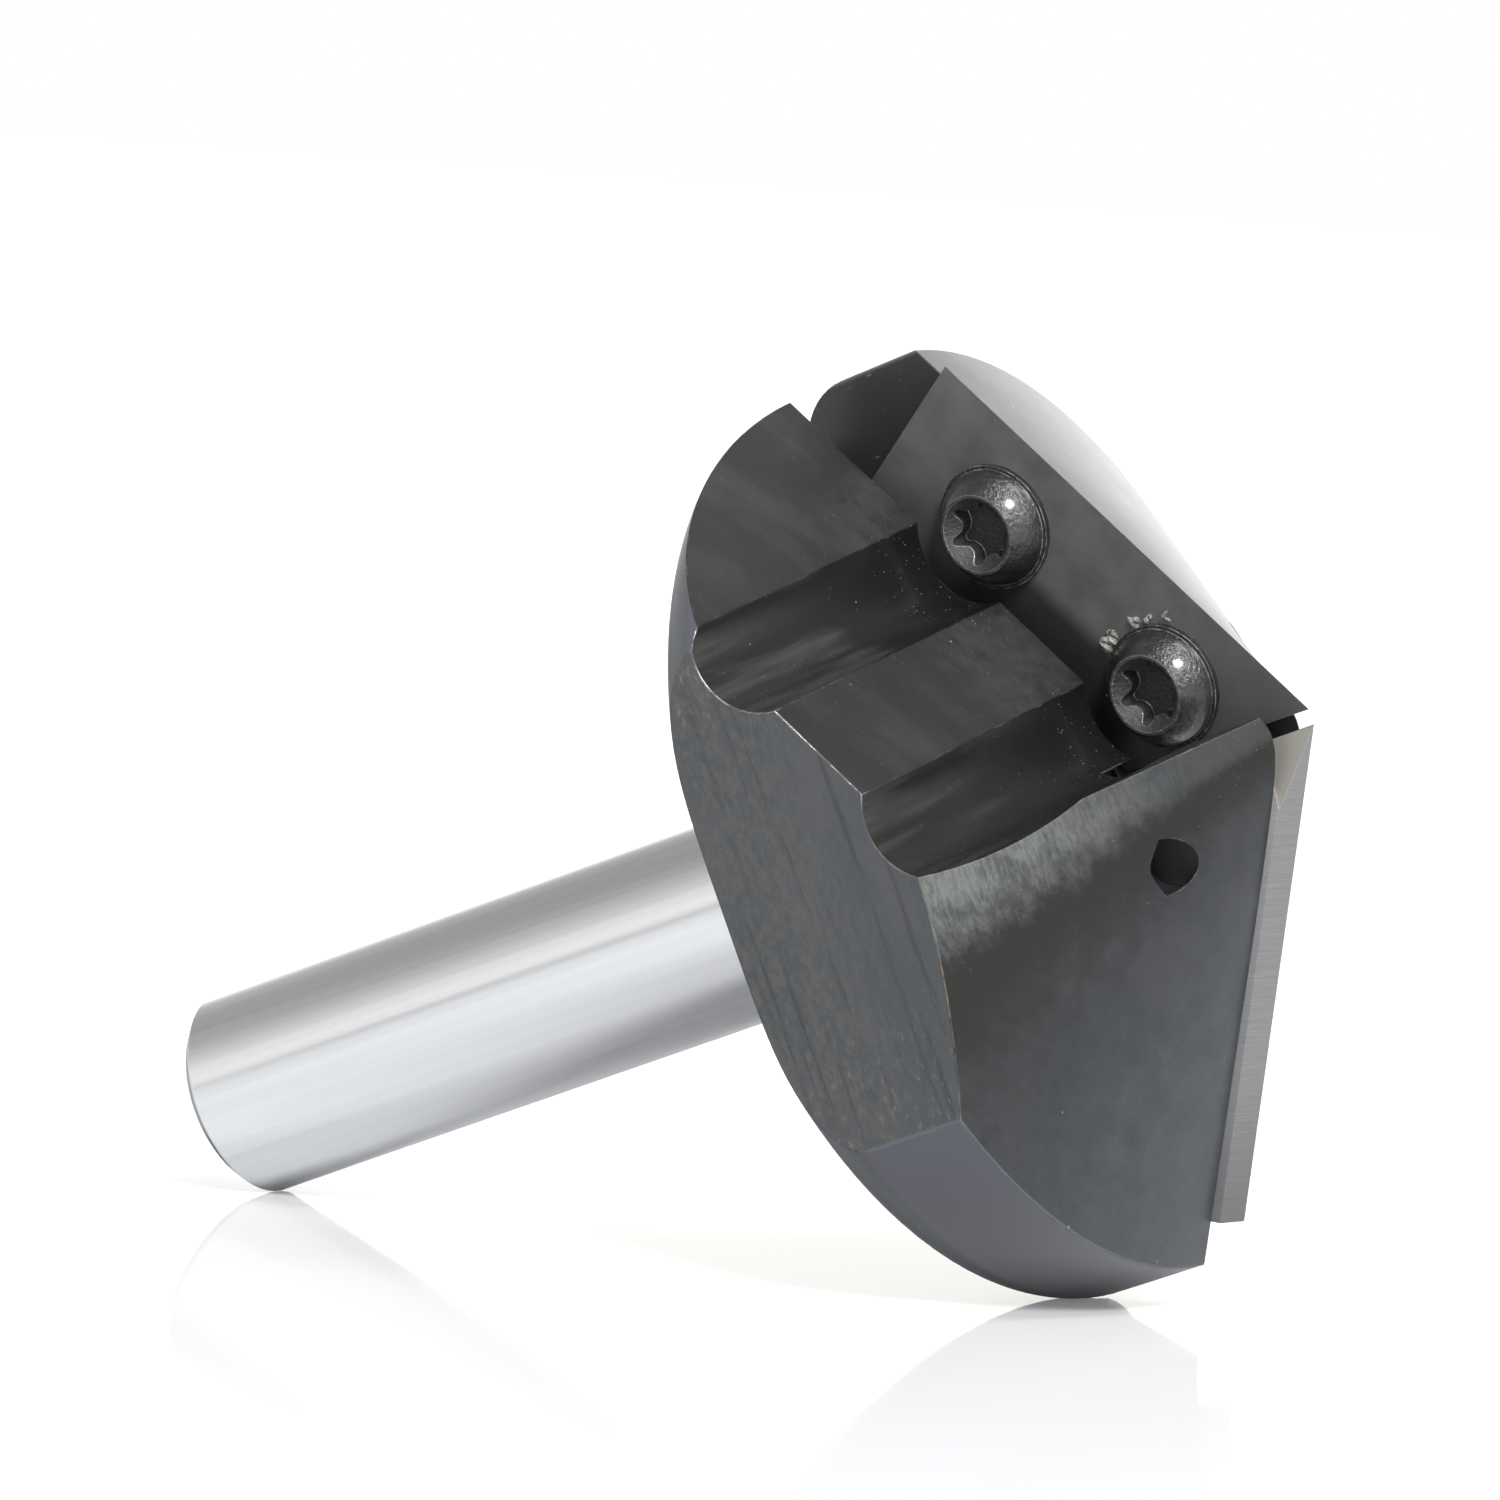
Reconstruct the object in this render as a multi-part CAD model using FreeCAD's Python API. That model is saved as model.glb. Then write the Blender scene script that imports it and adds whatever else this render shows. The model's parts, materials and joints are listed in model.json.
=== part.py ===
import FreeCAD, Part
import math
import os
from FreeCAD import Vector

# V-groove router bit with two bolted-on insert knives, lying on its side.
# It is modelled upright in a tool frame: Z runs along the axis from the shank to the tips,
# zero is level with the knife tips, and knife 1 points along +X. All lengths are millimetres.

# Knives
knife_length = 30.0
knife_width = 12.0
knife_thickness = 1.5
knife_bevel_setback = 1.05
knife_hole_diameter = 4.4
knife_hole_inset = 5.7
knife_hole_end_distance = 8.0
knife_hole_pitch = 14.0
tip_facet_reach = 5.3
tip_facet_run = 3.4

# Groove and how the knives stand in the head
included_angle = 120.0
rake_angle = 10.5
tip_offset = 0.45
knife_count = 2

# Head, turned in one piece with its shank
head_diameter = 56.2
head_cone_angle = 118.6
head_point_drop = 0.8
head_rim_width = 10.2
head_shoulder_radius = 4.4
flat_distance = 23.65
shank_diameter = 12.7
shank_length = 50.0
shank_chamfer = 0.7
shank_root_chamfer = 0.8

# Gullet in front of each knife
slot_headroom = 2.1
slot_back_clearance = 0.05
gullet_depth = 8.0
gullet_wall_offset = 1.12

# Button screws with a six-lobed recess
screw_thread_diameter = 4.0
screw_length = 5.0
screw_head_diameter = 7.5
screw_flange_height = 0.4
screw_dome_diameter = 7.0
screw_head_height = 2.2
screw_crown_diameter = 4.8
recess_mouth_diameter = 4.5
recess_mouth_angle = 95.0
recess_lobe_diameter = 3.95
recess_root_diameter = 2.8
recess_lobe_radius = 0.31
recess_depth = 1.7
recess_mouth_overrun = 0.1
recess_lobes = 6

# Holes for the screws
thread_clearance = 0.05
channel_clearance = 0.4
thread_run_out = 0.6
pilot_diameter = 3.3
pilot_depth = 7.2
drill_point_angle = 118.0

# How it lies: the low line of the head is this far round from the second knife's middle line
rest_roll = 8.0

# Reach of the cutting solids past the head
beyond = 2.0 * head_diameter

half_angle = math.radians(included_angle / 2.0)
cone_half_angle = math.radians(head_cone_angle / 2.0)
rake = math.radians(rake_angle)
head_radius = head_diameter / 2.0
shank_radius = shank_diameter / 2.0
rim_top = -(head_point_drop + head_radius / math.tan(cone_half_angle))
head_back = rim_top - head_rim_width
shank_end = head_back - shank_length

# Knife frame: X along the cutting edge, Y inward across the rake face, Z out of that face
edge_line = Vector(math.sin(half_angle), 0, -math.cos(half_angle))
square_in = Vector(-math.cos(half_angle), 0, -math.sin(half_angle))
face_in = square_in * math.cos(rake) - Vector(0, 1, 0) * math.sin(rake)
face_out = edge_line.cross(face_in)
knife_frame = FreeCAD.Placement(
    Vector(tip_offset, 0, 0),
    FreeCAD.Rotation(edge_line, face_in, face_out, "XYZ"),
)

# Seen square to the rake face, the tool axis runs at the groove's half angle to the edge
axis_line = Vector(math.cos(half_angle), math.sin(half_angle), 0)
screw_places = [
    knife_hole_end_distance + knife_hole_pitch * row
    for row in range(2)
]
screw_names = ["tip", "rim"]


def point_on_line(offset, inset):
    """Point at this inset on the line parallel to the axis, this far from the axis."""
    start = (offset - tip_offset) / math.sin(half_angle)
    return Vector(start + inset / math.tan(half_angle), inset, 0)


def prism(corners, low, high):
    """Straight-sided solid on a flat outline, between two heights."""
    outline = [Vector(corner.x, corner.y, low) for corner in corners]
    face = Part.Face(Part.makePolygon(outline + [outline[0]]))
    return face.extrude(Vector(0, 0, high - low))


def cylinder(radius, low, high, x=0.0, y=0.0):
    """Upright cylinder between two heights."""
    return Part.makeCylinder(radius, high - low, Vector(x, y, low), Vector(0, 0, 1))


def turned(edges):
    """Solid of revolution about Z from the edges of one half section."""
    face = Part.Face(Part.Wire(edges))
    return face.revolve(Vector(0, 0, 0), Vector(0, 0, 1), 360)


def line(start, end):
    """Straight edge in the half section, from (radius, height) to (radius, height)."""
    return Part.LineSegment(Vector(start[0], 0, start[1]), Vector(end[0], 0, end[1])).toShape()


def arc(start, middle, end):
    """Arc edge in the half section through three (radius, height) points."""
    places = [Vector(place[0], 0, place[1]) for place in (start, middle, end)]
    return Part.Arc(*places).toShape()


def arc_about(centre, radius, start_angle, end_angle):
    """Arc edge in the half section about a centre, between two angles in degrees."""
    places = []
    for angle in (start_angle, (start_angle + end_angle) / 2.0, end_angle):
        turn = math.radians(angle)
        places.append((centre[0] + radius * math.cos(turn), centre[1] + radius * math.sin(turn)))
    return arc(*places), places[0], places[2]


def head_and_shank_blank():
    """The head's cone, rim and rounded shoulder with the shank behind, as turned."""
    shoulder_centre = (head_radius - head_shoulder_radius, head_back + head_shoulder_radius)
    shoulder, shoulder_top, shoulder_low = arc_about(shoulder_centre, head_shoulder_radius, 0, -90)
    root_out = (shank_radius + shank_root_chamfer, head_back)
    root_in = (shank_radius, head_back - shank_root_chamfer)
    point = (0, -head_point_drop)
    rim = (head_radius, rim_top)
    chamfer_top = (shank_radius, shank_end + shank_chamfer)
    chamfer_low = (shank_radius - shank_chamfer, shank_end)
    end_middle = (0, shank_end)
    return turned([
        line(point, rim),
        line(rim, shoulder_top),
        shoulder,
        line(shoulder_low, root_out),
        line(root_out, root_in),
        line(root_in, chamfer_top),
        line(chamfer_top, chamfer_low),
        line(chamfer_low, end_middle),
        line(end_middle, point),
    ])


def gullet():
    """All that is milled away for one knife, in the knife frame."""
    open_pocket = prism([
        point_on_line(gullet_wall_offset, -beyond),
        Vector(beyond, -beyond, 0),
        Vector(beyond, gullet_depth, 0),
        point_on_line(gullet_wall_offset, gullet_depth),
    ], -knife_thickness, beyond)
    slot_back = knife_width + slot_back_clearance
    slot = prism([
        point_on_line(-gullet_wall_offset, -beyond),
        Vector(beyond, -beyond, 0),
        Vector(beyond, slot_back, 0),
        point_on_line(-gullet_wall_offset, slot_back),
    ], -knife_thickness, slot_headroom)
    cut = open_pocket.fuse(slot)
    channel_radius = screw_head_diameter / 2.0 + channel_clearance
    for place in screw_places:
        cut = cut.fuse(cylinder(channel_radius, 0, beyond, place, knife_hole_inset))
        cut = cut.fuse(tapped_hole(place))
    return cut


def tapped_hole(place):
    """Threaded hole in the knife seat, with the pilot hole and drill point below it."""
    thread_low = -screw_length - thread_run_out
    pilot_low = -knife_thickness - pilot_depth
    pilot_radius = pilot_diameter / 2.0
    point_depth = pilot_radius / math.tan(math.radians(drill_point_angle / 2.0))
    thread_radius = screw_thread_diameter / 2.0 + thread_clearance
    hole = cylinder(thread_radius, thread_low, 0, place, knife_hole_inset)
    hole = hole.fuse(cylinder(pilot_radius, pilot_low, 0, place, knife_hole_inset))
    drill_point = Part.makeCone(
        pilot_radius, 0, point_depth, Vector(place, knife_hole_inset, pilot_low), Vector(0, 0, -1)
    )
    return hole.fuse(drill_point)


def cutter_body():
    """Head and shank with the side flats and both gullets milled."""
    body = head_and_shank_blank()
    one_gullet = gullet()
    one_gullet.Placement = knife_frame
    flat_cut = Part.makeBox(
        2 * beyond, beyond, 2 * beyond, Vector(-beyond, flat_distance, -beyond)
    )
    for index in range(knife_count):
        turn = 360.0 * index / knife_count
        for tool in (one_gullet, flat_cut):
            turned_tool = tool.copy()
            turned_tool.rotate(Vector(0, 0, 0), Vector(0, 0, 1), turn)
            body = body.cut(turned_tool)
    return body.removeSplitter()


def knife():
    """Insert knife: one bevelled cutting edge, a slanted tip end and two screw holes."""
    section = Part.makePolygon([
        Vector(0, 0, 0),
        Vector(0, knife_width, 0),
        Vector(0, knife_width, -knife_thickness),
        Vector(0, knife_bevel_setback, -knife_thickness),
        Vector(0, 0, 0),
    ])
    blade = Part.Face(section).extrude(Vector(knife_length, 0, 0))
    spare = knife_length
    tip_waste = prism([
        axis_line * -spare,
        axis_line * spare,
        Vector(-spare, spare, 0),
        Vector(-spare, -spare, 0),
    ], -2 * knife_thickness, knife_thickness)
    blade = blade.cut(tip_waste)

    # The tip end is ground away underneath, from its top edge to a point along the bevel
    facet_low = Vector(tip_facet_reach, knife_bevel_setback, -knife_thickness)
    facet_out = axis_line.cross(facet_low)
    facet_out.normalize()
    facet_waste = Part.makeBox(tip_facet_run, 2 * spare, spare, Vector(0, -spare, 0))
    facet_waste.Placement = FreeCAD.Placement(
        Vector(0, 0, 0), FreeCAD.Rotation(axis_line, Vector(0, 0, 0), facet_out, "ZXY")
    )
    blade = blade.cut(facet_waste)

    for place in screw_places:
        hole = cylinder(
            knife_hole_diameter / 2.0, -2 * knife_thickness, knife_thickness, place, knife_hole_inset
        )
        blade = blade.cut(hole)
    return blade


def six_lobe_prism(low, high):
    """Recess shape: round lobes joined by hollow flutes, all arcs tangent."""
    step = math.pi / recess_lobes
    lobe_centre = recess_lobe_diameter / 2.0 - recess_lobe_radius
    root = recess_root_diameter / 2.0
    flute_radius = (
        lobe_centre ** 2 + root ** 2 - 2 * lobe_centre * root * math.cos(step)
        - recess_lobe_radius ** 2
    ) / (2 * (lobe_centre * math.cos(step) + recess_lobe_radius - root))
    flute_centre = root + flute_radius

    def polar(distance, angle):
        return Vector(distance * math.cos(angle), distance * math.sin(angle), low)

    def join(lobe_angle, flute_angle):
        middle = polar(lobe_centre, lobe_angle)
        towards = polar(flute_centre, flute_angle) - middle
        towards.normalize()
        return middle + towards * recess_lobe_radius

    edges = []
    for index in range(recess_lobes):
        lobe = 2 * step * index
        before = join(lobe, lobe - step)
        after = join(lobe, lobe + step)
        following = join(lobe + 2 * step, lobe + step)
        edges.append(Part.Arc(before, polar(recess_lobe_diameter / 2.0, lobe), after).toShape())
        edges.append(Part.Arc(after, polar(root, lobe + step), following).toShape())
    return Part.Face(Part.Wire(edges)).extrude(Vector(0, 0, high - low))


def screw():
    """Flanged button screw, standing on the rake face with its thread pointing down."""
    flange = screw_head_diameter / 2.0
    dome = screw_dome_diameter / 2.0
    crown = screw_crown_diameter / 2.0
    thread = screw_thread_diameter / 2.0

    # The dome is part of a ball whose middle lies on the screw's axis
    rise = screw_head_height - screw_flange_height
    middle = (crown ** 2 + screw_head_height ** 2 - dome ** 2 - screw_flange_height ** 2) / (2 * rise)
    ball = math.hypot(dome, screw_flange_height - middle)
    low_angle = math.degrees(math.atan2(screw_flange_height - middle, dome))
    high_angle = math.degrees(math.atan2(screw_head_height - middle, crown))
    skin, skin_low, skin_high = arc_about((0, middle), ball, low_angle, high_angle)
    head = turned([
        line((0, -screw_length), (thread, -screw_length)),
        line((thread, -screw_length), (thread, 0)),
        line((thread, 0), (flange, 0)),
        line((flange, 0), (flange, screw_flange_height)),
        line((flange, screw_flange_height), skin_low),
        skin,
        line(skin_high, (0, screw_head_height)),
        line((0, screw_head_height), (0, -screw_length)),
    ])
    mouth_high = recess_mouth_diameter / 2.0
    mouth_low = recess_root_diameter / 2.0 - recess_mouth_overrun
    mouth_depth = (mouth_high - mouth_low) / math.tan(math.radians(recess_mouth_angle / 2.0))
    mouth = Part.makeCone(
        mouth_high, mouth_low, mouth_depth, Vector(0, 0, screw_head_height), Vector(0, 0, -1)
    )
    head = head.cut(mouth)
    return head.cut(six_lobe_prism(screw_head_height - recess_depth, screw_head_height))


def resting_placement():
    """Turns the upright tool so that it lies on its shank end and its rounded shoulder."""
    along = (head_back + head_shoulder_radius) - (shank_end + shank_chamfer)
    across = (head_radius - head_shoulder_radius) - shank_radius
    reach = math.hypot(along, across)
    tilt = math.atan2(across, along) + math.asin(head_shoulder_radius / reach)
    roll = math.radians(-rest_roll)
    up_radius = Vector(math.cos(roll), math.sin(roll), 0)
    axis = Vector(0, 0, 1)
    up = axis * math.sin(tilt) + up_radius * math.cos(tilt)
    forward = axis * math.cos(tilt) - up_radius * math.sin(tilt)
    left = up.cross(forward)
    lying = FreeCAD.Rotation(forward, left, up, "XYZ").inverted()
    lift = shank_radius * math.cos(tilt) - (shank_end + shank_chamfer) * math.sin(tilt)
    return FreeCAD.Placement(Vector(0, 0, lift), lying), math.degrees(tilt)


def upright_parts():
    """Every piece in the tool frame, by name."""
    pieces = {"cutter_body": cutter_body()}
    one_knife = knife()
    one_screw = screw()
    for index in range(knife_count):
        turn = FreeCAD.Placement(
            Vector(0, 0, 0), FreeCAD.Rotation(Vector(0, 0, 1), 360.0 * index / knife_count)
        )
        number = index + 1
        blade = one_knife.copy()
        blade.Placement = turn.multiply(knife_frame)
        pieces["insert_knife_%d" % number] = blade
        for place, name in zip(screw_places, screw_names):
            seat = FreeCAD.Placement(Vector(place, knife_hole_inset, 0), FreeCAD.Rotation())
            fixing = one_screw.copy()
            fixing.Placement = turn.multiply(knife_frame).multiply(seat)
            pieces["knife_%d_%s_screw" % (number, name)] = fixing
    return pieces


def main():
    """Lays the tool down, sets the origin under the middle of it and writes the pieces."""
    pieces = upright_parts()
    laid, tilt = resting_placement()
    for shape in pieces.values():
        shape.Placement = laid.multiply(shape.Placement)
    box = Part.makeCompound(list(pieces.values())).optimalBoundingBox(False, False)
    centring = Vector(-box.Center.x, -box.Center.y, 0)
    os.makedirs("parts", exist_ok=True)
    for name, shape in pieces.items():
        shape.translate(centring)
        shape.exportStep("parts/%s.step" % name)
        print(name, "volume", round(shape.Volume, 2), "valid", shape.isValid())
    end_middle = laid.multVec(Vector(0, 0, shank_end)) + centring
    axis = laid.Rotation.multVec(Vector(0, 0, 1))
    tool_zero = laid.multVec(Vector(0, 0, 0)) + centring
    print("tilt", round(tilt, 4), "box", box.XLength, box.YLength, box.ZLength, "low", box.ZMin)
    print("shank end", tuple(end_middle), "axis", tuple(axis), "tool zero", tuple(tool_zero))


main()
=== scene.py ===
import json
import math
import random

import bmesh
import bpy
from mathutils import Matrix, Vector


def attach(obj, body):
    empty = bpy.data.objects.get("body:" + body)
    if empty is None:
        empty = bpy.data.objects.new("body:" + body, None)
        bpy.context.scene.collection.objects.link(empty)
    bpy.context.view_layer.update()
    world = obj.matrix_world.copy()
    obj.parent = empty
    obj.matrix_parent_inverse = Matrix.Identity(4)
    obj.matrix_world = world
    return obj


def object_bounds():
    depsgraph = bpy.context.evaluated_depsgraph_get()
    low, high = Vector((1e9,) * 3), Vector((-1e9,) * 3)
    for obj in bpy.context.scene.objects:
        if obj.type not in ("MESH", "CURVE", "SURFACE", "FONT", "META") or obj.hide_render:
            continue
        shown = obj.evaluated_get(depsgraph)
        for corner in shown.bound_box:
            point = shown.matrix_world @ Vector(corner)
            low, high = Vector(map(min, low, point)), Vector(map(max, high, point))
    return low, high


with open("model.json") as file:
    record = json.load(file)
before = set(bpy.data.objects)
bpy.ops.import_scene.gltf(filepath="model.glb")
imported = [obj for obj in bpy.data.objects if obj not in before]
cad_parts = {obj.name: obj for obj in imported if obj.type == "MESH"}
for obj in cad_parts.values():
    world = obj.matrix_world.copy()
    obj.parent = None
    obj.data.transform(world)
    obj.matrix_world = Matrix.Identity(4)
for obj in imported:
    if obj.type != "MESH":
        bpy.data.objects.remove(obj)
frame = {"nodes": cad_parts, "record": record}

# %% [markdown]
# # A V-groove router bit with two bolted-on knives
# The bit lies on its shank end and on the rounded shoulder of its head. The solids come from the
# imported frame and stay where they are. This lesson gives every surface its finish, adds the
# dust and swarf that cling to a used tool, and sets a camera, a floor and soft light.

solid_low, solid_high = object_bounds()
chance = random.Random(12)
mm = 0.001
solid_box = [round((high - low) / mm, 1) for low, high in zip(solid_low, solid_high)]
print("box of the solids", solid_box)

# %% [markdown]
# ## The tool's own axes
# On the real bit everything is measured from its axis. The shank mount in the record says where
# that axis lies in the row's frame, so the tool frame is worked out from it: Z runs from the
# shank to the tips, zero is level with the tips, and knife 1 points along +X.

# %% Tool frame from the shank mount
rest_roll = math.radians(8.0)
shank_middle_to_tips = 52.735 * mm

shank = next(mount for mount in frame["record"]["mounts"] if mount["name"] == "shank")
tool_z = -Vector(shank["axis"]).normalized()
level = Vector((0, 0, 1)).cross(tool_z).normalized()
upright = tool_z.cross(level)
tool_x = upright * math.cos(rest_roll) - level * math.sin(rest_roll)
tool_y = tool_z.cross(tool_x)
tool_zero = Vector(shank["pos_m"]) + tool_z * shank_middle_to_tips
tool_axes = (tool_x, tool_y, tool_z)


def to_row(place_mm):
    """Point given in the tool frame in millimetres, in the row's frame in metres."""
    return tool_zero + sum((axis * step * mm for axis, step in zip(tool_axes, place_mm)), Vector())


print("tool zero", [round(value / mm, 2) for value in tool_zero])

# %% Sizes of the head and knives that the finishes follow, in millimetres
head_radius = 28.1
cone_half_angle = math.radians(59.3)
cone_point = -0.8
rim_top = cone_point - head_radius / math.tan(cone_half_angle)
rim_height = 10.2
head_back = rim_top - rim_height
ground_from = head_back - 1.6
shank_length = 50.0
shank_end = head_back - shank_length
end_chamfer = 0.55
flat_distance = 23.65
gullet_depth = 8.0
channel_radius = 4.15
seat_floor = -2.8
seat_top = -0.3

groove_half_angle = math.radians(60.0)
rake = math.radians(10.5)
tip_offset = 0.45
hole_inset = 5.7
tip_hole = 8.0
rim_hole = 22.0
dome_radius = 4.0
recess_radius = 2.3
tip_facet_low = Vector((5.3, 1.05, -1.5))

edge_line = Vector((math.sin(groove_half_angle), 0, -math.cos(groove_half_angle)))
square_in = Vector((-math.cos(groove_half_angle), 0, -math.sin(groove_half_angle)))
face_in = square_in * math.cos(rake) - Vector((0, 1, 0)) * math.sin(rake)
face_out = edge_line.cross(face_in)
knife_axes = (edge_line, face_in, face_out)
knife_start = Vector((tip_offset, 0, 0))

# Both lines of the tip facet start at the knife's corner, so their cross product is its normal
tip_edge = Vector((math.cos(groove_half_angle), math.sin(groove_half_angle), 0))
tip_slant = tip_edge.cross(tip_facet_low).normalized()

# %% [markdown]
# ## Shader maths as plain expressions
# A node tree is hard to read as a list of nodes and links. A small class wraps a socket, so that
# `1 - mask` or `rings * 0.4` adds the Math nodes by itself. Colours and vectors need Mix and
# Vector Math nodes, because a Math node would turn them grey.


# %% A socket that can be added, multiplied and compared
class Wire:
    """One output socket in a finish."""

    def __init__(self, finish, socket):
        self.finish = finish
        self.socket = socket

    def math(self, operation, *values):
        return self.finish.node("ShaderNodeMath", {"operation": operation}, dict(enumerate(values)))

    def __add__(self, other):
        return self.math("ADD", self, other)

    __radd__ = __add__

    def __mul__(self, other):
        return self.math("MULTIPLY", self, other)

    __rmul__ = __mul__

    def __sub__(self, other):
        return self.math("SUBTRACT", self, other)

    def __rsub__(self, other):
        return self.math("SUBTRACT", other, self)

    def __truediv__(self, other):
        return self.math("DIVIDE", self, other)

    def __pow__(self, other):
        return self.math("POWER", self, other)

    def __abs__(self):
        return self.math("ABSOLUTE", self)

    def rises(self, low, high):
        """0 below low, 1 above high, with a soft step between."""
        settings = {"interpolation_type": "SMOOTHSTEP"}
        return self.finish.node("ShaderNodeMapRange", settings, {0: self, 1: low, 2: high})

    def falls(self, low, high):
        """1 below low, 0 above high."""
        return 1 - self.rises(low, high)

    def near(self, value, reach):
        """1 at a value, 0 once further from it than reach."""
        return abs(self - value).falls(0.5 * reach, reach)


# %% A finish: one material with its shader and a method for any node
class Finish:
    """A material built from nodes on the Principled shader."""

    def __init__(self, name, tree=None):
        self.material = None
        if tree is None:
            self.material = bpy.data.materials.new(name)
            self.material.use_nodes = True
            tree = self.material.node_tree
        self.tree = tree
        self.shader = next((n for n in tree.nodes if n.type == "BSDF_PRINCIPLED"), None)

    def join(self, value, socket):
        """Sets a socket to a plain value, or links a wire to it."""
        if isinstance(value, Wire):
            self.tree.links.new(value.socket, socket)
        else:
            socket.default_value = value

    def node(self, kind, settings, sockets, output=0):
        """Adds any node: its settings first, then the values or links of its sockets."""
        made = self.tree.nodes.new(kind)
        for name, value in settings.items():
            setattr(made, name, value)
        for key, value in sockets.items():
            self.join(value, made.inputs[key])
        return Wire(self, made.outputs[output])

    def place(self):
        """Where a surface point lies in the row's frame, in millimetres."""
        spot = self.node("ShaderNodeTexCoord", {}, {}, "Object")
        return self.node("ShaderNodeVectorMath", {"operation": "SCALE"}, {0: spot, "Scale": 1 / mm})

    def dot(self, first, second):
        """Dot product of two vectors, as one number."""
        settings = {"operation": "DOT_PRODUCT"}
        return self.node("ShaderNodeVectorMath", settings, {0: first, 1: second}, "Value")

    def along(self, place, start, direction):
        """How far a place lies from a start in one direction, in millimetres."""
        return self.dot(place, direction) - start.dot(direction) / mm

    def vector(self, x, y, z):
        return self.node("ShaderNodeCombineXYZ", {}, {0: x, 1: y, 2: z})

    def noise(self, place, scale, detail=3.0, roughness=0.55):
        sockets = {"Vector": place, "Scale": scale, "Detail": detail, "Roughness": roughness}
        return self.node("ShaderNodeTexNoise", {}, sockets, "Fac")

    def specks(self, place, spacing, size):
        """1 inside small round specks, one or none in each cell of this spacing."""
        sockets = {"Vector": place, "Scale": 1.0 / spacing}
        return self.node("ShaderNodeTexVoronoi", {}, sockets, "Distance").falls(0.4 * size, size)

    def mix(self, share, first, second):
        """First colour where share is 0, second where it is 1."""
        settings = {"data_type": "RGBA"}
        sockets = {"Factor": share, 6: first, 7: second}
        return self.node("ShaderNodeMix", settings, sockets, 2)

    def bump(self, height, depth_mm, normal=None):
        """Normal of a surface whose height runs from 0 to 1 over this depth."""
        sockets = {"Height": height, "Strength": 1.0, "Distance": depth_mm * mm}
        if normal:
            sockets["Normal"] = normal
        return self.node("ShaderNodeBump", {}, sockets)

    def worn_edges(self, width_mm):
        """Soft normal over an edge, and a mask that is 1 on it and 0 away from it."""
        soft = self.node("ShaderNodeBevel", {"samples": 6}, {"Radius": width_mm * mm})
        flat = self.node("ShaderNodeNewGeometry", {}, {}, "Normal")
        return soft, (1 - self.dot(soft, flat)).rises(0.01, 0.12)

    def dress(self, **values):
        """Feeds the shader's sockets by name, with underscores for spaces."""
        for name, value in values.items():
            self.join(value, self.shader.inputs[name.replace("_", " ")])
        return self.material


def grey(level, blue=0.0):
    """Opaque neutral colour, a little bluer if asked."""
    return (level, level * (1 + 0.4 * blue), level * (1 + blue), 1.0)


# %% [markdown]
# ## The body: ground shank, blackened head
# The body is turned and milled from one bar, blackened in a hot salt bath, and its shank is then
# ground bright. One solid therefore needs one material with two finishes, told apart by how far
# a point lies along the tool's axis. The head keeps the marks of each cut: rings where it was
# turned, straight streaks on the milled flats, and a paler rubbed band beside each gullet.

# %% Places on the body, measured along the tool's axes


class BodyPlaces:
    """The wires that say where a point of the body lies."""

    def __init__(self, finish):
        self.finish = finish
        self.spot = finish.place()
        self.x, self.y, self.z = (finish.along(self.spot, tool_zero, axis) for axis in tool_axes)
        self.radius = (self.x * self.x + self.y * self.y) ** 0.5
        self.on_shank = self.z.falls(ground_from, ground_from + 0.4)
        self.on_cone = (self.z - cone_point + self.radius / math.tan(cone_half_angle)).near(0, 0.12)
        self.on_flat = abs(self.y).near(flat_distance, 0.12)
        self.on_back = self.z.falls(rim_top, rim_top + 0.1) * (1 - self.on_flat)

    def near_point(self, place_mm, reach):
        """1 at a point given in the tool frame, 0 beyond this reach."""
        x, y, z = place_mm
        square = (self.x - x) ** 2.0 + (self.y - y) ** 2.0 + (self.z - z) ** 2.0
        return (square ** 0.5).falls(0.4 * reach, reach)

    def in_knife_frame(self, wing):
        """Distances along the edge, across the face and out of it, for one wing's knife."""
        turn = Matrix.Rotation(math.pi * wing, 3, "Z")
        rows = []
        for axis in knife_axes:
            turned = turn @ axis
            start = (turn @ knife_start).dot(turned)
            rows.append(self.x * turned.x + self.y * turned.y + self.z * turned.z - start)
        return rows

    def reaches(self, along, across):
        """Distances from the axes of the two screws of that knife."""
        aside = (across - hole_inset) ** 2.0
        return [((along - hole) ** 2.0 + aside) ** 0.5 for hole in (tip_hole, rim_hole)]

    def in_gullet(self, wing):
        """A mask for one gullet, a mask for its two screw channels, and the distances."""
        along, across, out = self.in_knife_frame(wing)
        reaches = self.reaches(along, across)
        near_screw = sum(reach.falls(channel_radius, channel_radius + 0.1) for reach in reaches)
        before_wall = across.falls(gullet_depth + 0.05, gullet_depth + 0.1)
        opened = (before_wall + near_screw).rises(0.0, 1.0)
        inside = opened * out.rises(seat_top, seat_top + 0.1) * (1 - self.on_cone) * (1 - self.on_flat)
        return inside, inside * near_screw, (along, across, out)

    def in_seats(self):
        """1 on the steel between the two levels of the seats, wherever that steel ends."""
        inside = 0.0
        for wing in range(2):
            out = self.in_knife_frame(wing)[2]
            below_face = out.falls(seat_top, seat_top + 0.1)
            inside = out.rises(seat_floor, seat_floor + 0.1) * below_face + inside
        return inside * (1 - self.on_cone) * self.radius.falls(head_radius - 0.3, head_radius - 0.1)


# %% [markdown]
# The shank is ground between centres, so its marks are very fine rings. Noise gives them when
# its place is scaled up along the axis and down across it. Long faint streaks the other way
# stand for the rub of the collet.

# %% The ground shank


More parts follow.
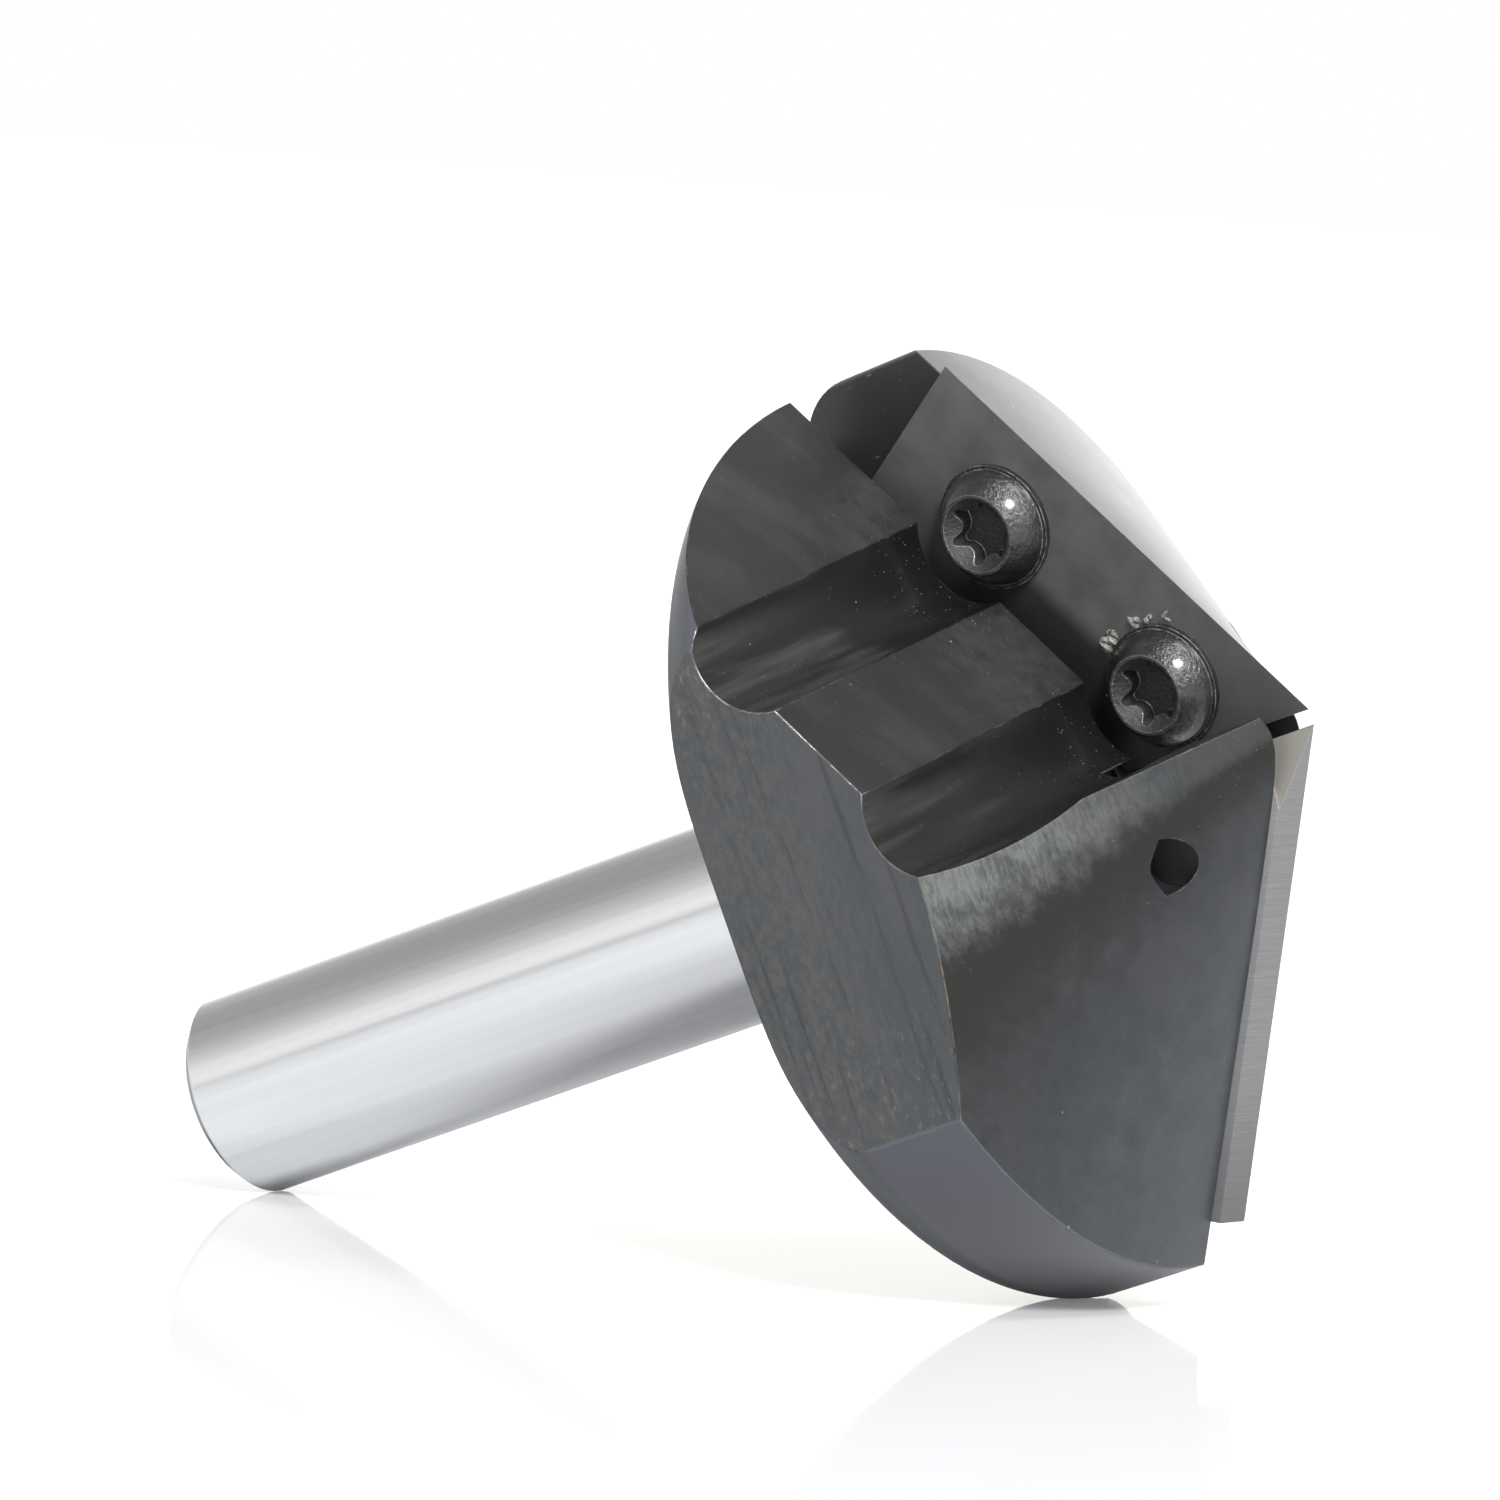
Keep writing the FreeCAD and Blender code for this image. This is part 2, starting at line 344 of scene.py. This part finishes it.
def ground_shank(finish, places):
    """Colour, roughness and height of the ground steel."""
    fine = finish.vector(places.x * 0.3, places.y * 0.3, places.z * 11.0)
    rings = finish.noise(fine, 1.0, 4.0, 0.7)
    wide = finish.vector(places.x * 2.4, places.y * 2.4, places.z * 0.02)
    streaks = finish.noise(wide, 1.0, 4.0, 0.6)
    colour = finish.mix(streaks.rises(0.3, 0.7), grey(0.83, 0.02), grey(0.89, 0.01))
    chamfer = places.z.falls(shank_end + end_chamfer, shank_end + end_chamfer + 0.17)
    colour = finish.mix(chamfer, colour, grey(0.16, 0.25))
    rough = 0.14 + rings * 0.06 + streaks * 0.04
    return colour, rough, rings * 0.5 + streaks * 0.5


# %% [markdown]
# Chips leave over the cone right beside each gullet. The black is rubbed there to a paler band
# with short hatch marks. Next to it lies a darker band of painted shade, and further off a paler
# band of painted sheen, for how the cone reflects the light. The distance from the gullet's edge
# is divided by a width that noise varies, which gives all of them torn borders.

# %% Marks, painted shade and painted sheen beside the gullets, and oil


def beside_gullets(finish, places):
    """Rubbed bands, hatch marks, painted shade and painted sheen on the cone by the gullets."""
    wall_start = 0.77        # where the gullet wall meets the cone, along the edge from its start
    band = 0.0
    shade = 0.0
    hatch = 0.0
    pale = 0.0
    mottle = finish.noise(places.spot, 0.55, 6.0, 0.72)
    for wing in range(2):
        along, across, out = places.in_knife_frame(wing)
        away = across / math.tan(groove_half_angle) + wall_start - along
        near_gullet = out.rises(-1.0, 3.0) * away.rises(-1.5, -0.5)
        width = (places.radius * 0.16 + 1.0) * (0.55 + mottle)
        strength = places.radius.rises(5.0, 21.0) * 0.9 + 0.1
        widths = away / width
        band = widths.falls(0.45, 1.45) * near_gullet * strength + band
        # Painted shade next to the rubbed band, and a paler painted sheen further off
        shade = widths.rises(0.8, 1.4) * widths.falls(1.6, 3.4) * near_gullet + shade
        pale = widths.rises(2.6, 6.5) * near_gullet + pale
        marks = finish.vector(away * 0.9, out * 4.4, across * 0.5)
        hatch = finish.noise(marks, 1.0, 5.0, 0.7) * near_gullet + hatch
    return band * places.on_cone, shade * places.on_cone, pale * places.on_cone, hatch, mottle


def wet_oil(finish, places):
    """Oil that has crept out from under each screw head, and the dust that it holds."""
    wet = 0.0
    dusty = 0.0
    for wing in range(2):
        along, across, out = places.in_knife_frame(wing)
        low = out.falls(5.0, 8.5) * out.rises(0.2, 0.6)
        for reach in places.reaches(along, across):
            wet = reach.falls(dome_radius, 6.6) * low * across.rises(6.0, gullet_depth) + wet
            dusty = reach.falls(5.0, 12.0) * out.rises(0.5, 1.5) * out.falls(4.0, 16.0) + dusty
    return wet, dusty


# %% [markdown]
# The two flats were milled before the steel was blackened. They show long thin streaks in the
# cutter's direction, a greenish bloom of old oil towards the back, and pale flecks where each
# flat ends. Noises of different stretch give them all.

# %% The milled flats


def milled_flats(finish, places):
    """Tone of the flats: long thin streaks, a greenish mottle and pale flecks at their ends."""
    streaks = finish.noise(finish.vector(places.x * 0.035, 0.0, places.z * 1.0), 1.0, 4.0, 0.7)
    grained = finish.vector(places.x * 1.3, places.y, places.z * 2.4)
    patches = finish.noise(grained, 1.0, 6.0, 0.78)
    spread = finish.noise(finish.vector(places.x * 0.10, 0.0, places.z * 0.25), 1.0, 4.0, 0.6)
    tone = finish.mix(spread.rises(0.35, 0.65), grey(0.048, 0.28), grey(0.060, 0.16))
    by_back_edge = places.z.falls(rim_top - 6.0, rim_top - 1.0) * 0.6 + 0.3
    greenish = patches.rises(0.40, 0.62) * by_back_edge
    tone = finish.mix(greenish, tone, (0.080, 0.080, 0.073, 1.0))
    tone = finish.mix(streaks.falls(0.36, 0.47) * 0.7, tone, grey(0.028, 0.25))
    flecks = patches.rises(0.55, 0.68) * abs(places.x).rises(7.0, 14.0)
    return finish.mix(flecks * 0.8, tone, (0.150, 0.158, 0.148, 1.0))


# %% [markdown]
# Each gullet has two plain walls and two round channels for the screw heads. The walls keep long
# smears in line with the cutting edge. The channels are painted darker, as shade in their hollows,
# and a soft painted highlight runs along each channel's axis towards its mouth.

# %% Marks in the gullets


class GulletMarks:
    """Masks of both gullets, the marks the milling cutter left, and a painted channel highlight."""

    def __init__(self, finish, places):
        self.inside = 0.0
        self.channels = 0.0
        self.smears = 0.0
        self.channel_highlight = 0.0
        self.lip = 0.0
        for wing in range(2):
            inside, channel, (along, across, out) = places.in_gullet(wing)
            smeared = (along * 0.16 + out * 0.10, across * 0.2, out * 0.62 - along * 0.16)
            smears = finish.noise(finish.vector(*smeared), 0.30, 7.0, 0.68)
            self.smears = smears * inside + self.smears
            # A soft painted highlight along each channel's axis, towards its mouth
            channel_highlight = finish.noise(finish.vector(along * 0.42, across * 0.42, out * 0.04), 1.0, 4.0, 0.6)
            self.channel_highlight = channel_highlight * channel * out.rises(5.0, 15.0) + self.channel_highlight
            self.inside = inside + self.inside
            self.channels = channel + self.channels
            by_rim_channel = places.reaches(along, across)[1].near(channel_radius, 0.3)
            bounds = across.near(gullet_depth, 0.5) + by_rim_channel
            on_edge = out.rises(0.0, 1.0) * abs(places.y).near(flat_distance, 0.8)
            self.lip = bounds * on_edge + self.lip


# %% [markdown]
# The head's finish is put together in layers: a clouded black base, the flats and gullets with
# painted shade and a painted highlight in the channels, then back, rim and seats, the rubbed
# bands with painted shade and sheen on the cone, and last the oil and dust with their glints. Each
# layer is a mask worked out from the head's sizes, so it would follow if a size were changed.

# %% The blackened head


def blackened_head(finish, places):
    """Colour, roughness and height of the black oxide, where dust gathers, and the worn lips."""
    clouds = finish.noise(places.spot, 0.16, 5.0, 0.62)
    grain = finish.noise(places.spot, 6.0, 3.0, 0.6)
    colour = finish.mix(clouds.rises(0.35, 0.65), grey(0.018, 0.40), grey(0.028, 0.16))
    colour = finish.mix(places.on_flat, colour, milled_flats(finish, places))

    gullets = GulletMarks(finish, places)
    colour = finish.mix(gullets.inside, colour, grey(0.011, 0.12))
    colour = finish.mix(gullets.smears.rises(0.40, 0.68), colour, (0.027, 0.029, 0.029, 1.0))
    dull = clouds.rises(0.46, 0.60) * gullets.inside * 0.7
    colour = finish.mix(dull, colour, (0.012, 0.012, 0.012, 1.0))
    # Painted shade: the round channels are darker still in their hollows
    colour = finish.mix(gullets.channels * 0.8, colour, (0.010, 0.010, 0.009, 1.0))
    # Painted highlight: a paler soft streak along each channel
    lines = gullets.channel_highlight.rises(0.44, 0.66) * 0.75
    colour = finish.mix(lines, colour, (0.050, 0.050, 0.046, 1.0))

    # Back, rim and seats, and then the rubbed bands, painted shade and painted sheen on the cone
    outside = 1 - gullets.inside
    colour = finish.mix(places.on_back * outside, colour, grey(0.075, 0.20))
    on_rim = places.radius.rises(head_radius - 0.15, head_radius - 0.05) * outside
    by_flats = abs(places.y).rises(7.0, 23.0)
    rim_tone = finish.mix(by_flats, (0.160, 0.161, 0.174, 1.0), (0.096, 0.099, 0.116, 1.0))
    colour = finish.mix(on_rim, colour, rim_tone)
    in_seats = places.in_seats() * outside
    colour = finish.mix(in_seats, colour, (0.032, 0.030, 0.029, 1.0))
    band, shade, pale, hatch, mottle = beside_gullets(finish, places)
    rubbed = band * (0.15 + mottle.rises(0.35, 0.60) * 0.5 + hatch.rises(0.38, 0.62) * 0.45)
    # Painted sheen and painted shade on the cone stand in for how it reflects the light
    colour = finish.mix(pale * 0.8, colour, grey(0.056, 0.26))
    colour = finish.mix(shade * 0.9, colour, (0.007, 0.006, 0.004, 1.0))
    colour = finish.mix(rubbed, colour, (0.132, 0.140, 0.130, 1.0))

    # Oil and the dust in it
    wet, dusty = wet_oil(finish, places)
    blobs = finish.noise(places.spot, 1.3, 3.0, 0.6)
    on_walls = gullets.inside * (1 - gullets.channels)
    haze = dusty.rises(0.25, 0.9) * on_walls * mottle.rises(0.30, 0.70)
    colour = finish.mix(haze * 0.55, colour, (0.050, 0.049, 0.046, 1.0))
    glints = wet * finish.specks(places.spot, 0.34, 0.10) * blobs.rises(0.44, 0.54)
    colour = finish.mix(glints, colour, grey(0.65))

    rings = finish.noise(finish.vector(0.0, places.radius * 5.0, places.z * 5.0), 1.0, 3.0, 0.6)
    rings_here = rings * (1 - gullets.inside - places.on_flat) * 0.45
    hairs = finish.noise(finish.vector(places.x * 0.4, 0.0, places.z * 9.0), 1.0, 3.0, 0.6)
    height = grain * 0.3 + hairs * places.on_flat * 0.6 + rings_here + gullets.smears * 0.4
    height = height + hatch * band * 0.6 + blobs * wet * 2.0
    rough = 0.30 + clouds * 0.10 + places.on_flat * 0.10 + band * 0.15 + shade * 0.08
    rough = rough * (1 - wet * 0.45) * (1 - gullets.channels * 0.25)
    return colour, rough, height, dusty + gullets.inside * 0.3 + in_seats, gullets.lip


# %% [markdown]
# Sharp steel edges lose their black first. A bevel node gives the normal of a slightly rounded
# edge. Where it differs from the true normal there is an edge, and noise breaks that line up,
# because the real edge is chipped in some places and whole in others.

# %% Both finishes on the one solid


def body_finish():
    """Bright shank, black head, pale worn edges, dust and a smear of old oil."""
    finish = Finish("blackened_steel_with_ground_shank")
    places = BodyPlaces(finish)
    soft, edge = finish.worn_edges(0.15)
    shank_colour, shank_rough, shank_height = ground_shank(finish, places)
    head_colour, head_rough, head_height, dusty, lip = blackened_head(finish, places)

    on_head = 1 - places.on_shank
    chipped = finish.noise(places.spot, 0.5, 4.0, 0.7).rises(0.50, 0.64)
    ragged = finish.noise(places.spot, 1.2, 3.0, 0.6).rises(0.36, 0.58)
    wear = edge * (chipped * 0.3 + lip * ragged) * on_head
    dusted = finish.noise(places.spot, 0.9, 3.0, 0.6).rises(0.5, 0.6)
    grit = finish.specks(places.spot, 0.62, 0.075) * dusted
    powdered = finish.noise(places.spot, 0.7, 5.0, 0.7).rises(0.50, 0.56)
    fine = finish.specks(places.spot, 0.42, 0.085) * powdered
    dust = grit * dusty.rises(0.35, 0.9) + fine * (dusty.rises(0.1, 0.3) * 0.8 + 0.2)
    nicked = finish.vector(places.x * 1.5, places.y * 1.5, places.z * 0.35)
    handled = finish.noise(places.spot, 0.3, 2.0, 0.5).rises(0.55, 0.62)
    nicks = finish.specks(nicked, 2.2, 0.07) * handled

    # Two brassy rubs on the edge of the cone
    rubs = ((-7.91, 23.52, -15.53), 2.6), ((-7.6, 11.5, -9.3), 1.2)
    brassy = edge * sum(places.near_point(place_mm, reach) for place_mm, reach in rubs)

    colour = finish.mix(places.on_shank, head_colour, shank_colour)
    colour = finish.mix(wear, colour, grey(0.48))
    colour = finish.mix(brassy * ragged, colour, (0.36, 0.26, 0.15, 1.0))
    colour = finish.mix((dust + nicks) * on_head * 0.7, colour, (0.34, 0.31, 0.27, 1.0))
    rough = head_rough * on_head + shank_rough * places.on_shank
    height = head_height * on_head + shank_height * places.on_shank * 0.25
    return finish.dress(
        Base_Color=colour,
        Metallic=places.on_shank + wear * 0.8,
        Roughness=rough,
        Normal=finish.bump(height, 0.012, soft),
        IOR=1.5,
    )


# %% [markdown]
# ## Ground carbide knives
# The knives are pressed and sintered carbide, ground on every face. The rake face is lapped
# smooth and looks dark, while the bevel and the tip facet keep straight grinding marks and
# shine paler. The face a point is on follows from its depth below the rake face.

# %% Carbide by face


def knife_finish(wing):
    """Dark lapped rake face, pale ground bevel, brownish tip facet."""
    finish = Finish("ground_carbide_%d" % (wing + 1))
    places = BodyPlaces(finish)
    along, across, out = places.in_knife_frame(wing)
    soft, edge = finish.worn_edges(0.05)
    on_rake = out.rises(-0.03, -0.01)

    marks = finish.noise(finish.vector(along * 14.0, across * 0.5, out * 0.5), 1.0, 3.0, 0.6)
    cloud = finish.noise(finish.vector(along, across, out), 0.3, 4.0, 0.6)
    lapped = finish.mix(cloud.rises(0.3, 0.7), grey(0.096, 0.03), grey(0.140, 0.02))
    lapped = finish.mix(across.rises(5.0, 11.0) * 0.6, lapped, grey(0.110, 0.03))
    lapped = finish.mix(along.falls(3.0, 10.0) * 0.7, lapped, grey(0.084, 0.05))
    # The face is made darker in a strip by the gullet wall, between the two screws
    between_screws = along.rises(tip_hole - 1.0, tip_hole + 1.0) * along.falls(rim_hole - 1.0, 24.0)
    dark_by_wall = across.rises(6.0, 7.6) * between_screws
    lapped = finish.mix(dark_by_wall * 0.85, lapped, (0.014, 0.014, 0.013, 1.0))
    ground = finish.mix(marks.rises(0.3, 0.7), grey(0.30), grey(0.36, -0.03))
    ground = finish.mix(along.rises(19.0, 31.0) * 0.55, ground, grey(0.15, 0.03))
    on_tip = (along * tip_slant.x + across * tip_slant.y + out * tip_slant.z).near(0, 0.04)
    on_tip = on_tip * (1 - on_rake)
    ground = finish.mix(on_tip, ground, (0.26, 0.248, 0.225, 1.0))
    spots = finish.specks(places.spot, 0.8, 0.09)
    ground = finish.mix(spots * 0.6, ground, (0.12, 0.09, 0.07, 1.0))
    colour = finish.mix(on_rake, ground, lapped)
    dust = finish.specks(places.spot, 1.9, 0.05)
    colour = finish.mix(dust * on_rake * 0.5, colour, (0.30, 0.27, 0.22, 1.0))
    colour = finish.mix(edge * 0.5, colour, grey(0.45))
    height = marks * (1 - on_rake * 0.85)
    return finish.dress(
        Base_Color=colour,
        Metallic=1 - on_rake * 0.85 - on_tip * 0.75,
        Roughness=0.34 + cloud * 0.08,
        IOR=1.7,
        Normal=finish.bump(height, 0.004, soft),
    )


# %% [markdown]
# ## Oiled black screws
# The button screws are forged, so their domes have a fine orange-peel skin, and they carry a
# film of oil. The grain comes from the bumpy black base, and a thin coat over it gives the
# small bright highlight. The lobes of the recess have bright edges where the key has rubbed.

# %% Screw finish


def screw_finish(wing):
    """Black and oily, with fine pebbles on the head."""
    finish = Finish("oiled_black_screw_%d" % (wing + 1))
    places = BodyPlaces(finish)
    spot = places.spot
    along, across, out = places.in_knife_frame(wing)
    on_head = out.rises(-0.3, 0.0)
    reaches = places.reaches(along, across)
    in_recess = sum(reach.falls(recess_radius, recess_radius + 0.2) for reach in reaches)
    pebbles = finish.noise(spot, 4.4, 3.0, 0.6) * on_head
    lumps = finish.noise(spot, 1.3, 2.0, 0.5)
    soft, edge = finish.worn_edges(0.09)
    rubbed = edge * finish.noise(spot, 1.6, 3.0, 0.6).rises(0.45, 0.62)
    colour = finish.mix(lumps.rises(0.35, 0.7), grey(0.009, 0.05), grey(0.020, 0.05))
    colour = finish.mix(in_recess * 0.6, colour, grey(0.035))
    bright_edge = edge * in_recess * lumps.rises(0.44, 0.56)
    colour = finish.mix(rubbed * 0.4 + edge * 0.1 + bright_edge, colour, grey(0.85))
    return finish.dress(
        Metallic=bright_edge,
        Base_Color=colour,
        Roughness=0.19 + lumps * 0.12 + in_recess * 0.3 - bright_edge * 0.3,
        Coat_Weight=0.55 - in_recess * 0.5,
        Coat_Roughness=0.14,
        Normal=finish.bump(pebbles + lumps * 0.4, 0.11, soft),
        IOR=1.75,
    )


# %% Finishes onto the solids
finishes = {"cutter_body": body_finish()}
for wing in range(2):
    screw_material = screw_finish(wing)
    finishes["insert_knife_%d" % (wing + 1)] = knife_finish(wing)
    for end in ("tip", "rim"):
        finishes["knife_%d_%s_screw" % (wing + 1, end)] = screw_material
for name, material in finishes.items():
    for slot in frame["nodes"][name].material_slots:
        slot.material = material
print("finishes on", len(finishes), "nodes")

# %% [markdown]
# ## Swarf packed round the screws
# Little grey chips of board stick in the oil beside the tip screw of knife 1. They are real
# crumbs, so each is a small bent flake of its own, dropped onto the rake face.


# %% Crumbs beside a screw
def crumb(mesh, place, size):
    """One ragged flake: a squashed icosphere with its corners pushed about."""
    made = bmesh.ops.create_icosphere(mesh, subdivisions=1, radius=1.0)
    turn = Matrix.Rotation(chance.uniform(0, math.tau), 3, face_out)
    stretch = (chance.uniform(0.8, 1.6), chance.uniform(0.4, 0.9), chance.uniform(0.4, 0.8))
    for corner in made["verts"]:
        rough = 1 + 0.5 * chance.uniform(-1, 1)
        local = sum((axis * corner.co[i] * stretch[i] for i, axis in enumerate(knife_axes)), Vector())
        corner.co = to_row(Vector(place) + turn @ local * size * rough)


def crumbs(name, wing, hole, spots):
    """A mesh of crumbs round one screw: each has an angle, a distance and a size."""
    mesh = bmesh.new()
    turn = Matrix.Rotation(math.pi * wing, 3, "Z")
    for angle, distance, size in spots:
        turned = math.radians(angle)
        along = hole + distance * math.cos(turned)
        across = hole_inset + distance * math.sin(turned)
        place = knife_start + edge_line * along + face_in * across + face_out * (0.25 * size)
        crumb(mesh, turn @ place, size)
    data = bpy.data.meshes.new(name)
    mesh.to_mesh(data)
    mesh.free()
    piece = bpy.data.objects.new(name, data)
    bpy.context.collection.objects.link(piece)
    return piece


def swarf_finish():
    """Matte grey-brown board dust."""
    finish = Finish("board_swarf")
    fleck = finish.noise(finish.place(), 6.0, 3.0, 0.6)
    colour = finish.mix(fleck.rises(0.3, 0.7), (0.14, 0.135, 0.12, 1.0), (0.44, 0.42, 0.38, 1.0))
    return finish.dress(Base_Color=colour, Roughness=0.85, Normal=finish.bump(fleck, 0.05))


# %% The crumbs that show
swarf_spots = [
    (10, 4.20, 0.46), (2, 4.16, 0.42), (6, 4.50, 0.36), (-3, 4.20, 0.28), (0, 4.66, 0.22),
    (-24, 4.02, 0.36), (-29, 4.22, 0.22), (-39, 4.02, 0.28), (-43, 4.14, 0.16),
    (-55, 4.24, 0.34), (-59, 4.10, 0.20), (52, 4.20, 0.14),
]
swarf = crumbs("swarf_crumbs", 0, tip_hole, swarf_spots)
swarf.data.materials.append(swarf_finish())
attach(swarf, "root")
print("crumbs", len(swarf_spots), "triangles", len(swarf.data.polygons))

# %% [markdown]
# ## The floor
# The bit lies on white gloss board. A pale diffuse floor under a thin mirror layer gives the soft
# shadow and the faint reflection together. A little light of its own, seen by the camera and
# faintly in mirrors, lifts it to the white of the page without more light on the tool.


# %% White gloss floor
def white_floor():
    """Wide gloss floor under the tool."""
    bpy.ops.mesh.primitive_plane_add(size=60.0, location=(0, 0, 0))
    floor = bpy.context.object
    floor.name = "floor"
    finish = Finish("white_gloss_board")
    tree = finish.tree
    tree.nodes.remove(finish.shader)
    chalk = finish.node("ShaderNodeBsdfDiffuse", {}, {"Color": (0.62, 0.63, 0.65, 1.0)})
    place = finish.place()
    reach = finish.node("ShaderNodeVectorMath", {"operation": "LENGTH"}, {0: place}, "Value")
    camera_ray = finish.node("ShaderNodeLightPath", {}, {}, "Is Camera Ray")
    mirror_ray = finish.node("ShaderNodeLightPath", {}, {}, "Is Glossy Ray")
    glow_level = camera_ray * (reach.rises(100.0, 900.0) * 0.42 + 0.19) + mirror_ray * 0.04
    glow_colour = finish.mix(glow_level, grey(0.0), (1.0, 1.0, 0.96, 1.0))
    glow = finish.node("ShaderNodeEmission", {}, {"Color": glow_colour, "Strength": 1.0})
    lit = finish.node("ShaderNodeAddShader", {}, {0: chalk, 1: glow})
    mirror = {"Color": (1.0, 0.99, 0.95, 1.0), "Roughness": 0.045}
    gloss = finish.node("ShaderNodeBsdfAnisotropic", {}, mirror)
    both = finish.node("ShaderNodeMixShader", {}, {0: camera_ray * 0.22, 1: lit, 2: gloss})
    finish.join(both, tree.nodes["Material Output"].inputs["Surface"])
    floor.data.materials.append(finish.material)
    return floor


white_floor()

# %% [markdown]
# ## Soft light
# A light tent is white all round and dimmer overhead, where its roof is far away. A bright panel
# stands behind the tool and lights the top of its cone. The world gives all that by direction
# alone. A soft lamp above and a small one to the right of the camera make the highlights on
# the screws.


# %% The tent
def tent():
    """World whose light depends on its direction only."""
    world = bpy.context.scene.world or bpy.data.worlds.new("tent")
    bpy.context.scene.world = world
    world.use_nodes = True
    finish = Finish("tent", world.node_tree)
    way = finish.node("ShaderNodeTexCoord", {}, {}, "Generated")
    height = finish.dot(way, Vector((0.0, 0.0, 1.0)))
    light = finish.mix(height.rises(0.05, 0.70), (1.0, 1.0, 0.98, 1.0), grey(0.30))
    light = finish.mix(height.near(0.01, 0.03), light, grey(0.5))
    panel = finish.dot(way, Vector((-0.30, 0.93, 0.20)).normalized())
    light = finish.mix(panel.rises(0.80, 0.97), light, grey(2.8))
    seen = finish.node("ShaderNodeLightPath", {}, {}, "Is Camera Ray")
    light = finish.mix(seen, light, grey(1.0))
    back = world.node_tree.nodes["Background"]
    finish.join(light, back.inputs["Color"])
    back.inputs["Strength"].default_value = 1.0


tent()


# %% Lamps
def soft_lamp(name, place, aim, size, watts):
    """Round area lamp pointed at a spot."""
    data = bpy.data.lights.new(name, "AREA")
    data.shape = "DISK"
    data.size = size
    data.energy = watts
    lamp = bpy.data.objects.new(name, data)
    bpy.context.collection.objects.link(lamp)
    lamp.location = place
    lamp.rotation_euler = (Vector(aim) - Vector(place)).to_track_quat("-Z", "Y").to_euler()
    return lamp


head_middle = (0.02, 0.0, 0.03)
soft_lamp("top_lamp", (0.25, 0.05, 0.75), head_middle, size=0.35, watts=2.2)
soft_lamp("screw_lamp", (0.41, -0.38, 0.485), head_middle, size=0.21, watts=5.2)

# %% [markdown]
# ## The camera
# The photograph was taken from far off with a long lens. Its place and turn were found once
# from the corners of the knives and the shank, and are kept in the tool frame, so the camera
# would follow if the bit were laid down differently.

# %% Camera at the photograph's angle
camera_place_mm = (-4.584, 541.114, 271.161)
camera_right = (-0.329237, -0.472343, 0.817615)
camera_up = (0.943986, -0.144279, 0.296773)
focal_length_mm = 251.59
sensor_width_mm = 36.0


def tool_direction(parts):
    return sum((axis * part for axis, part in zip(tool_axes, parts)), Vector()).normalized()


right = tool_direction(camera_right)
back = right.cross(tool_direction(camera_up))
up = back.cross(right)
camera_data = bpy.data.cameras.new("camera")
camera_data.lens = focal_length_mm
camera_data.sensor_width = sensor_width_mm
camera_data.clip_end = 100.0
camera = bpy.data.objects.new("camera", camera_data)
bpy.context.collection.objects.link(camera)
turn = Matrix((right, up, back)).transposed().to_4x4()
camera.matrix_world = Matrix.Translation(to_row(camera_place_mm)) @ turn
bpy.context.scene.camera = camera
bpy.context.scene.view_settings.view_transform = "Standard"
print("camera at", [round(value, 3) for value in camera.location])
